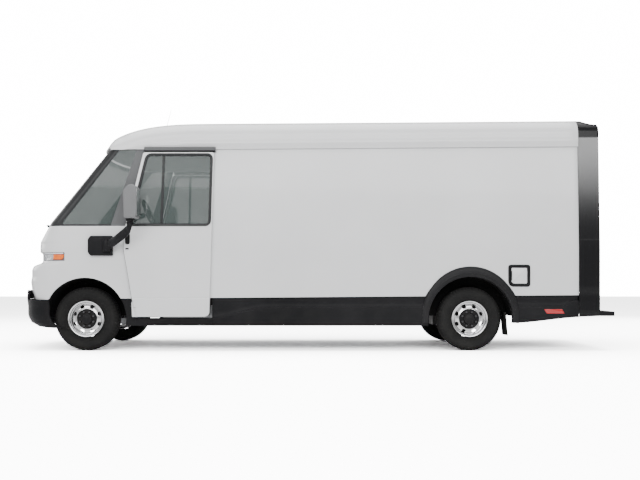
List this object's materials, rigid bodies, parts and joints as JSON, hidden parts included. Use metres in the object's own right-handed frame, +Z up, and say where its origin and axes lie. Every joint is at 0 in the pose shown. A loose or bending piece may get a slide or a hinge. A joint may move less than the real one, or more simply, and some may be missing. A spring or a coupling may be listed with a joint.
{
  "type": "mail delivery truck",
  "caption": "Electric step-van mail truck with sliding cab doors, swing rear doors, sprung axles, steering front wheels and a walk-through cargo body.",
  "frame": {"origin": "on the ground at the middle of the bounding box", "axes": "-X is the front, +X the rear, +Y the truck's right side, +Z up"},
  "size_m": [7.38, 2.884, 3.1439],
  "materials": {
    "body_paint": "smooth gloss off-white paint",
    "black_plastic": "fine moulded grain",
    "grey_plastic": "satin moulded grey",
    "portal_paint": "dark grey gloss",
    "frame_steel": "black chassis paint",
    "bare_steel": "bare machined steel",
    "rim_steel": "polished wheel disc",
    "alloy": "mill finish",
    "floor_alloy": "chequered floor plate",
    "liner_panel": "pale lining panel",
    "window": "tinted safety glass",
    "lamp_lens": "clear and amber lens",
    "red_lens": "red lens",
    "tyre": "rubber",
    "seat_fabric": "woven cloth",
    "dash_plastic": "grained dash moulding"
  },
  "bodies": {
    "chassis": {"ladder_frame": "frame_steel", "battery_pack": "alloy", "cab_floor": "floor_alloy", "cargo_floor": "floor_alloy", "side_panel_left": "body_paint", "side_panel_right": "body_paint", "roof_panel": "body_paint", "nose_panel": "body_paint", "front_fenders": "body_paint", "cab_pillars": "grey_plastic", "cab_glass": "window", "front_bumper": "black_plastic", "front_lamps": "lamp_lens", "bulkhead": "liner_panel", "claddings": "black_plastic", "rear_frame": "portal_paint", "tail_lamps": "red_lens", "rear_step": "black_plastic", "charge_port": "black_plastic", "door_tracks": "grey_plastic", "mirror_bases": "black_plastic", "dashboard": "dash_plastic", "seat_base": "frame_steel", "antenna": "black_plastic", "front_springs": "frame_steel", "rear_springs": "frame_steel"},
    "front_axle": {"front_axle": "frame_steel"},
    "rear_axle": {"rear_axle": "frame_steel"},
    "knuckle_left": {"knuckle_left": "bare_steel"},
    "knuckle_right": {"knuckle_right": "bare_steel"},
    "steering_wheel": {"steering_wheel": "dash_plastic"},
    "cab_door_left": {"cab_door_left": "body_paint", "door_glass_left": "window"},
    "cab_door_right": {"cab_door_right": "body_paint", "door_glass_right": "window"},
    "door_handle_left": {"door_handle_left": "black_plastic"},
    "door_handle_right": {"door_handle_right": "black_plastic"},
    "rear_door_left": {"rear_door_left": "portal_paint"},
    "rear_door_right": {"rear_door_right": "portal_paint"},
    "rear_handle": {"rear_handle": "bare_steel"},
    "charge_door": {"charge_door": "body_paint"},
    "bulkhead_door": {"bulkhead_door": "liner_panel"},
    "mirror_arm_left": {"mirror_arm_left": "black_plastic"},
    "mirror_arm_right": {"mirror_arm_right": "black_plastic"},
    "mirror_head_left": {"mirror_head_left": "grey_plastic"},
    "mirror_head_right": {"mirror_head_right": "grey_plastic"},
    "wiper_left": {"wiper_left": "black_plastic"},
    "wiper_right": {"wiper_right": "black_plastic"},
    "seat_slider": {"seat_cushion": "seat_fabric"},
    "seat_back": {"seat_back": "seat_fabric"},
    "brake_pedal": {"brake_pedal": "black_plastic"},
    "accelerator": {"accelerator": "black_plastic"},
    "wheel_front_left": {"tyre_front_left": "tyre", "rim_front_left": "rim_steel"},
    "wheel_front_right": {"tyre_front_right": "tyre", "rim_front_right": "rim_steel"},
    "wheel_rear_left": {"tyre_rear_left": "tyre", "rim_rear_left": "rim_steel"},
    "wheel_rear_right": {"tyre_rear_right": "tyre", "rim_rear_right": "rim_steel"}
  },
  "joints": [
    {"name": "front_suspension", "type": "slide", "parent": "chassis", "child": "front_axle", "axis": [0, 0, 1], "range_m": [-0.06, 0.06], "stiffness_N_per_m": 300000, "springref_m": -0.044, "deforming": ["front_springs"]},
    {"name": "rear_suspension", "type": "slide", "parent": "chassis", "child": "rear_axle", "axis": [0, 0, 1], "range_m": [-0.07, 0.07], "stiffness_N_per_m": 300000, "springref_m": -0.08717, "deforming": ["rear_springs"]},
    {"name": "steer_left", "type": "hinge", "parent": "front_axle", "child": "knuckle_left", "pos_m": [-2.74, -0.8, 0.357], "axis": [0, 0, 1], "range_deg": [-32, 32]},
    {"name": "steer_right", "type": "hinge", "parent": "front_axle", "child": "knuckle_right", "pos_m": [-2.74, 0.8, 0.357], "axis": [0, 0, 1], "range_deg": [-32, 32]},
    {"name": "wheel_front_left_spin", "type": "hinge", "parent": "knuckle_left", "child": "wheel_front_left", "pos_m": [-2.74, -0.8975, 0.387], "axis": [0, 1, 0], "continuous": true},
    {"name": "wheel_front_right_spin", "type": "hinge", "parent": "knuckle_right", "child": "wheel_front_right", "pos_m": [-2.74, 0.8975, 0.387], "axis": [0, 1, 0], "continuous": true},
    {"name": "wheel_rear_left_spin", "type": "hinge", "parent": "rear_axle", "child": "wheel_rear_left", "pos_m": [1.92, -0.8975, 0.387], "axis": [0, 1, 0], "continuous": true},
    {"name": "wheel_rear_right_spin", "type": "hinge", "parent": "rear_axle", "child": "wheel_rear_right", "pos_m": [1.92, 0.8975, 0.387], "axis": [0, 1, 0], "continuous": true},
    {"name": "steering_wheel_turn", "type": "hinge", "parent": "chassis", "child": "steering_wheel", "pos_m": [-2.092, -0.45, 1.719], "axis": [0.9272, 0, 0.3746], "range_deg": [-450, 450]},
    {"name": "cab_door_left_slide", "type": "slide", "parent": "chassis", "child": "cab_door_left", "axis": [1, 0, 0], "range_m": [0, 0.85]},
    {"name": "cab_door_right_slide", "type": "slide", "parent": "chassis", "child": "cab_door_right", "axis": [1, 0, 0], "range_m": [0, 0.85]},
    {"name": "door_handle_left_pull", "type": "hinge", "parent": "cab_door_left", "child": "door_handle_left", "pos_m": [-2.224, -1.08808, 1.357], "axis": [0, 0, 1], "range_deg": [-28, 0], "stiffness_Nm_per_rad": 2},
    {"name": "door_handle_right_pull", "type": "hinge", "parent": "cab_door_right", "child": "door_handle_right", "pos_m": [-2.224, 1.08808, 1.357], "axis": [0, 0, 1], "range_deg": [0, 28], "stiffness_Nm_per_rad": 2},
    {"name": "rear_door_right_swing", "type": "hinge", "parent": "chassis", "child": "rear_door_right", "pos_m": [3.502, 0.845, 1.6], "axis": [0, 0, 1], "range_deg": [0, 175]},
    {"name": "rear_door_left_swing", "type": "hinge", "parent": "chassis", "child": "rear_door_left", "pos_m": [3.502, -0.845, 1.6], "axis": [0, 0, 1], "range_deg": [-175, 0]},
    {"name": "rear_handle_turn", "type": "hinge", "parent": "rear_door_right", "child": "rear_handle", "pos_m": [3.48, 0.09, 1.18], "axis": [1, 0, 0], "range_deg": [-90, 0]},
    {"name": "charge_door_swing", "type": "hinge", "parent": "chassis", "child": "charge_door", "pos_m": [2.412, -1.0824, 0.911], "axis": [0, 0, 1], "range_deg": [-110, 0]},
    {"name": "bulkhead_door_slide", "type": "slide", "parent": "chassis", "child": "bulkhead_door", "axis": [0, 1, 0], "range_m": [0, 0.55]},
    {"name": "mirror_fold_left", "type": "hinge", "parent": "chassis", "child": "mirror_arm_left", "pos_m": [-2.461, -1.127, 1.272], "axis": [0, 0, 1], "range_deg": [-75, 8]},
    {"name": "mirror_fold_right", "type": "hinge", "parent": "chassis", "child": "mirror_arm_right", "pos_m": [-2.461, 1.127, 1.272], "axis": [0, 0, 1], "range_deg": [-8, 75]},
    {"name": "mirror_turn_left", "type": "hinge", "parent": "mirror_arm_left", "child": "mirror_head_left", "pos_m": [-2.113, -1.322, 1.576], "axis": [0, 0, 1], "range_deg": [-20, 20]},
    {"name": "mirror_turn_right", "type": "hinge", "parent": "mirror_arm_right", "child": "mirror_head_right", "pos_m": [-2.113, 1.322, 1.576], "axis": [0, 0, 1], "range_deg": [-20, 20]},
    {"name": "wiper_right_sweep", "type": "hinge", "parent": "chassis", "child": "wiper_right", "pos_m": [-3.2831, 0.7029, 1.535], "axis": [0.7528, -0.2146, -0.6223], "range_deg": [-85, 0]},
    {"name": "wiper_left_sweep", "type": "hinge", "parent": "chassis", "child": "wiper_left", "pos_m": [-3.2831, -0.7029, 1.535], "axis": [0.7528, 0.2146, -0.6223], "range_deg": [0, 85]},
    {"name": "seat_slide", "type": "slide", "parent": "chassis", "child": "seat_slider", "axis": [1, 0, 0], "range_m": [-0.1, 0.06]},
    {"name": "seat_recline", "type": "hinge", "parent": "seat_slider", "child": "seat_back", "pos_m": [-1.515, -0.45, 1.056], "axis": [0, 1, 0], "range_deg": [-12, 13]},
    {"name": "brake_press", "type": "hinge", "parent": "chassis", "child": "brake_pedal", "pos_m": [-2.41, -0.47, 0.782], "axis": [0, 1, 0], "range_deg": [-18, 0], "stiffness_Nm_per_rad": 40, "springref_deg": 6.88},
    {"name": "accelerator_press", "type": "hinge", "parent": "chassis", "child": "accelerator", "pos_m": [-2.41, -0.33, 0.782], "axis": [0, 1, 0], "range_deg": [-16, 0], "stiffness_Nm_per_rad": 15, "springref_deg": 8.59}
  ],
  "couplings": [
    {"joint": "steer_right", "follows": "steer_left", "ratio": 1},
    {"joint": "steering_wheel_turn", "follows": "steer_left", "ratio": 14},
    {"joint": "wiper_right_sweep", "follows": "wiper_left_sweep", "ratio": -1}
  ]
}
